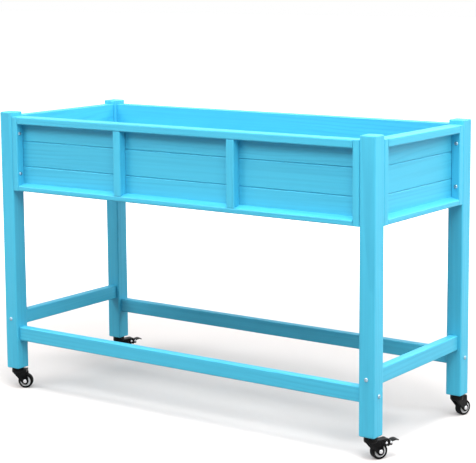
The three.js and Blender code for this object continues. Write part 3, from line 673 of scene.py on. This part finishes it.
# the mounting plate, its rim, the race inside the rim, and the kingpin with its riveted foot
NEAR_AXIS = 0.0001  # the last ring before the axis, which a small face closes
PIN_RADIUS = 0.0040
PIN_FOOT_RADIUS = 0.0060
PIN_BOTTOM = 0.0430
PIN_FOOT_TOP = 0.0452
RACE_RADIUS = 0.0100
RACE_BOTTOM = 0.0566
RIM_INSIDE = 0.0155
RIM_BOTTOM = 0.0568
PLATE_UNDERSIDE = 0.0583
plate_section = outline(
    [(NEAR_AXIS, PIN_BOTTOM), (PIN_FOOT_RADIUS, PIN_BOTTOM), (PIN_FOOT_RADIUS, PIN_FOOT_TOP),
     (PIN_RADIUS, PIN_FOOT_TOP), (PIN_RADIUS, RACE_BOTTOM), (RACE_RADIUS, RACE_BOTTOM),
     (RACE_RADIUS, PLATE_UNDERSIDE), (RIM_INSIDE, PLATE_UNDERSIDE), (RIM_INSIDE, RIM_BOTTOM),
     (PLATE_RADIUS, RIM_BOTTOM), (PLATE_RADIUS, PLATE_TOP), (NEAR_AXIS, PLATE_TOP)],
    [0.00005, 0.0006, 0.0003, 0.0002, 0.0002, 0.0003, 0.0002, 0.0002, 0.0003, 0.0004, 0.0010, 0.00005])

# the fork's round head narrows to its foot and has a shallow groove round it
PIN_BORE = 0.0044
HEAD_FOOT_RADIUS = 0.0164
HEAD_SHOULDER = 0.0478
GROOVE_RADIUS = 0.0168
head_section = outline(
    [(PIN_BORE, WEB_BOTTOM), (HEAD_FOOT_RADIUS, WEB_BOTTOM), (HEAD_RADIUS, HEAD_SHOULDER),
     (HEAD_RADIUS, 0.0531), (GROOVE_RADIUS, 0.0535), (GROOVE_RADIUS, 0.0538), (HEAD_RADIUS, 0.0542),
     (HEAD_RADIUS, HEAD_TOP), (PIN_BORE, HEAD_TOP)],
    [0.0002, 0.0012, 0.0020, 0.0004, 0.0002, 0.0002, 0.0004, 0.0012, 0.0002])

# a side of the fork is tangent to its eye where its leading edge reaches it
lead = math.degrees(
    math.atan2(WEB_BOTTOM - WHEEL_RADIUS, -LEG_LEAD - TRAIL)
    + math.acos(EYE_RADIUS / math.hypot(LEG_LEAD + TRAIL, WEB_BOTTOM - WHEEL_RADIUS)))


LEG_DROP = 0.0026  # the sides end this far under the bridge's top, and its edges have this radius


def leg_section(top):
    """A side of the fork in the wheel's plane: a blade from the bridge down to its eye."""
    return outline(
        [(-LEG_LEAD, top - LEG_DROP), (-LEG_LEAD, WEB_BOTTOM),
         *tangent_corners(axle_place, EYE_RADIUS, lead, 290, 360, 422),
         (WEB_REACH, WHEEL_RADIUS + 0.0092), (WEB_REACH, top - LEG_DROP)],
        [0.0004, 0.0015, EYE_RADIUS, EYE_RADIUS, EYE_RADIUS, 0.0025, 0.0004], 10)


def bridge_section(top):
    """The bridge between the sides, across the trail, a hair inside their faces."""
    half = LEG_OUTSIDE - 0.00005
    return outline(
        rectangle((-half, WEB_BOTTOM + 0.0001), (half, top)), [0.0005, 0.0005, LEG_DROP, LEG_DROP])


EAR_TOP = WEB_TOP - 0.0022
CROWN_START = 0.0230
CROWN_BOTTOM = 0.0466
ear_section = outline(
    [(0.0215, EAR_TOP), *tangent_corners(PIVOT, EAR_RADIUS, -144, -72, 0),
     (PIVOT[0] + EAR_RADIUS, EAR_TOP)],
    [0.0005, EAR_RADIUS, EAR_RADIUS, 0.0008], 10)
crown_section = outline(
    [(CROWN_START, CROWN_BOTTOM), (CROWN_REACH, CROWN_BOTTOM), (CROWN_REACH, 0.0500),
     (0.0425, 0.0515), (0.0260, 0.0502), (CROWN_START, 0.0499)],
    [0.0004, 0.0006, 0.0010, 0.0100, 0.0080, 0.0004], 8)

def mirrored_section(half, radii):
    """An outline, [radius, height], from its lower half, which is mirrored in the middle."""
    lower = np.array(half)
    return outline(np.concatenate([lower, (lower * [1, -1])[::-1]]), [*radii, *radii[::-1]])


# the tyre's bead, shoulder and tread, and the core's hub, web and seat under the tyre
tyre_section = mirrored_section(
    [(0.0152, -0.0088), (0.0186, -0.0090), (WHEEL_RADIUS, -0.0072)], [0.0003, 0.0014, 0.0024])
core_section = mirrored_section(
    [(0.00325, -0.0095), (0.0066, -0.0095), (0.0072, -0.0077), (0.0144, -0.0077), (0.0154, -0.0087)],
    [0.0002, 0.0005, 0.0005, 0.0005, 0.0003])
SHANK_RADIUS = 0.0030
axle_profile = both_ways(button(0.0054, 0.0127, 0.0149, 0.0133), SHANK_RADIUS)

# the brake lever about its pivot: the arm with the shoe, the cheeks and the pedal
arm_section = outline(
    [*tangent_corners((0, 0), 0.0040, 63, 123, 183, 243), (0.0033, -0.0073), (0.0073, -0.0113),
     (0.0126, -0.0080), (0.0126, 0.0040)],
    [0.0040, 0.0040, 0.0040, 0.0010, 0.0012, 0.0010, 0.0010])
cheek_section = outline(rectangle((0.0096, -0.0079), (0.0170, 0.0045)), 0.0024)
LEVER = (
    across(arm_section, -0.0088, 0.0088, 0.0006),
    across(cheek_section, -LEG_OUTSIDE, LEG_OUTSIDE, 0.0014),
    pedal_rings((0.0140, -0.0002), (0.0325, 0.0082), (0.0386, -0.0008), 0.0110, 0.0034))
RIVET_HEAD = 0.0032
RIVET_SHANK = 0.0021
RIVETS = [
    on_axle(
        turned_about(both_ways(button(RIVET_HEAD, seat, seat + 0.0013, seat + 0.0004), RIVET_SHANK)), place)
    for place, seat in (((0, 0), 0.0127), ((0.0129, 0), 0.0124))]

BRIDGE_SPLIT = 0.0055  # the bridge is two bars, one to each side of the kingpin's bore


def caster(where, trail, braked):
    """A caster under a post, whose wheel lies off the swivel axis at the angle trail, in
    degrees about Z from +X. A braked one has ears, a hood over the wheel and a lever."""

    def part(name, shells, material, body, slot, *stands_for, offset=(0, 0)):
        moved = [standing(shell + np.array([offset[0], 0, offset[1]]), where, trail) for shell in shells]
        made_name = f"{name}_{where}"
        replaced = [f"{node}_{where}" for node in stands_for]
        return piece(made_name, rings_to_mesh(made_name, *moved), material, body, slot, *replaced)

    part("mounting_plate", [ring_about(plate_section)], BLACK, BODY, "caster_metal", "caster_plate")
    sides = [(-LEG_OUTSIDE, -LEG_INSIDE), (LEG_INSIDE, LEG_OUTSIDE)]
    top = WEB_TOP if braked else HEAD_TOP - 0.0001
    fork = [ring_about(head_section), along(bridge_section(top), BRIDGE_SPLIT, WEB_REACH, 0.0006)]
    fork += [along(bridge_section(top), 0.0001 - LEG_LEAD, -BRIDGE_SPLIT, 0.0006)]
    fork += [across(leg_section(top), low, high, 0.0005) for low, high in sides]
    if braked:
        fork += [across(ear_section, low, high, 0.0005) for low, high in sides]
        fork += [across(crown_section, -LEG_OUTSIDE, LEG_OUTSIDE, 0.0020)]
        part("lever", LEVER, PLASTIC, f"brake_{where}", "brake_black", "brake_lever", offset=PIVOT)
        part("lever_rivets", RIVETS, STEEL, f"brake_{where}", "bright_steel", offset=PIVOT)
    part("fork", fork, BLACK, f"swivel_{where}", "caster_metal", "caster_fork")
    axle = on_axle(turned_about(axle_profile), axle_place)
    tyre = on_axle(ring_about(tyre_section), axle_place)
    core = on_axle(ring_about(core_section), axle_place)
    part("axle", [axle], STEEL, f"swivel_{where}", "bright_steel", "caster_axle")
    part("tyre", [tyre], RUBBER, f"wheel_{where}", "tyre", "caster_wheel")
    part("wheel_core", [core], CORE, f"wheel_{where}", "wheel_core")


caster("front_left", 30, False)
caster("front_right", 60, True)
caster("back_right", 70, False)
caster("back_left", 65, True)

# ------------------------------------------------------------------ stage and camera

REACH = 30.0  # of the floor, to each side
floor = bpy.data.meshes.new("studio_floor")
floor.from_pydata([(x, y, 0) for x, y in rectangle((-REACH, -REACH), (REACH, REACH))], [], [(0, 1, 2, 3)])
studio_floor = bpy.data.objects.new("studio_floor", floor)
bpy.context.scene.collection.objects.link(studio_floor)

# the camera and shiny surfaces see a pale floor with the object's shadow on it, which goes
# over into a white backdrop further out, and soft light bounces off a grey one. That white
# is painted light: to the camera and shiny surfaces the floor glows, faintly near the object
# and fully white further out, where the lamps fall off. The pale one has a painted warm
# tint, against the blue light that the paint throws on it.
BOUNCE_GREY = (0.22, 0.22, 0.22, 1)
WARM_WHITE = (0.680, 0.648, 0.634, 1)
paper = Finish("studio_paper", Roughness=0.9, Specular_IOR_Level=0.0, Emission_Color=(1, 1, 1, 1))
ray = paper.node("ShaderNodeLightPath")
glossy = Value(paper, ray.socket.node.outputs["Is Glossy Ray"])
seen = paper.node("ShaderNodeMath", {"operation": "MAXIMUM"}, {0: ray, 1: glossy})
oval = paper.stretched(paper.node("ShaderNodeTexCoord", output=3), (0.8, 1.0, 1.0))
out = paper.node("ShaderNodeVectorMath", {"operation": "LENGTH"}, {0: oval}, 1)
paper.set(
    Base_Color=paper.mix(seen, BOUNCE_GREY, WARM_WHITE),
    # painted light: a glow seen only by the camera and shiny surfaces, faint near the object and full white
    # further out
    Emission_Strength=seen * out.ramp(0.8, 2.2, 0.05, 1.0))
floor.materials.append(paper.material)

# the world is white to the camera and to shiny surfaces, and gives no light
world = bpy.data.worlds.new("studio_world")
bpy.context.scene.world = world
world.use_nodes = True
tree = world.node_tree
background = tree.nodes["Background"]
sky = tree.nodes.new("ShaderNodeBackground")
sky.inputs["Color"].default_value = (1, 1, 1, 1)
sky.inputs["Strength"].default_value = 1.0
background.inputs["Color"].default_value = (1, 1, 1, 1)
background.inputs["Strength"].default_value = 0.0
path = tree.nodes.new("ShaderNodeLightPath")
shown = tree.nodes.new("ShaderNodeMath")
shown.operation = "MAXIMUM"
tree.links.new(path.outputs["Is Camera Ray"], shown.inputs[0])
tree.links.new(path.outputs["Is Glossy Ray"], shown.inputs[1])
choose = tree.nodes.new("ShaderNodeMixShader")
tree.links.new(shown.outputs[0], choose.inputs[0])
tree.links.new(background.outputs[0], choose.inputs[1])
tree.links.new(sky.outputs[0], choose.inputs[2])
tree.links.new(choose.outputs[0], tree.nodes["World Output"].inputs["Surface"])


def hang(name, lamp, place, aim):
    """A lamp at a place, turned to look at a point."""
    thing = bpy.data.objects.new(name, lamp)
    bpy.context.scene.collection.objects.link(thing)
    quaternion = (Vector(aim) - Vector(place)).to_track_quat("-Z", "Y")
    thing.matrix_world = Matrix.Translation(place) @ quaternion.to_matrix().to_4x4()


def softbox(name, place, aim, size, power):
    """A large soft lamp."""
    lamp = bpy.data.lights.new(name, "AREA")
    lamp.shape = "RECTANGLE"
    lamp.size, lamp.size_y = size
    lamp.energy = power
    hang(name, lamp, place, aim)


def overhead(place, aim, angle, strength):
    """A wide light from above with nearly parallel rays, for the soft shadow on the floor."""
    lamp = bpy.data.lights.new("overhead_light", "SUN")
    lamp.angle = math.radians(angle)
    lamp.energy = strength
    hang("overhead_light", lamp, place, aim)


AIM = (0, 0, 0.45)
for name, place, size, power in (
        ("corner_softbox", (2.2, -2.0, 3.2), (1.8, 1.8), 74),
        ("high_softbox", (1.6, -1.6, 4.6), (2.0, 2.0), 44),
        ("front_softbox", (0.3, -2.7, 3.2), (3.0, 1.2), 39),
        ("front_left_softbox", (-2.2, -3.0, 3.0), (1.8, 1.8), 77),
        ("left_softbox", (-3.0, -1.2, 3.2), (1.8, 2.4), 36),
        ("right_softbox", (3.0, 0.3, 3.0), (1.6, 2.2), 31),
        ("side_softbox", (4.0, -0.3, 1.6), (1.8, 2.4), 41),
        ("back_corner_softbox", (2.6, 2.6, 3.0), (2.4, 1.8), 85),
        ("back_softbox", (0.0, 2.8, 3.0), (3.0, 1.4), 36)):
    softbox(name, place, AIM, size, power)
overhead((0.3, -0.45, 3.6), AIM, 24, 1.65)

# the camera that was solved from the photo's proportions
CAMERA_PLACE = (2.445281, -3.372403, 1.198862)
CAMERA_TURNS = (82.02409, 0.42038, 35.49294)  # degrees about X, then Y, then Z
SENSOR_WIDE = 36.0  # millimetres, as the lens is
LENS_LONG = 115.415
LENS_SHIFT = -0.09979  # of the picture's width, down

lens = bpy.data.cameras.new("photo_camera")
lens.sensor_width = SENSOR_WIDE
lens.lens = LENS_LONG
lens.shift_y = LENS_SHIFT
lens.clip_end = 100.0
camera = bpy.data.objects.new("photo_camera", lens)
bpy.context.scene.collection.objects.link(camera)
camera_turned = Euler([math.radians(turn) for turn in CAMERA_TURNS]).to_matrix().to_4x4()
camera.matrix_world = Matrix.Translation(CAMERA_PLACE) @ camera_turned
bpy.context.scene.camera = camera
bpy.context.scene.view_settings.view_transform = "Standard"
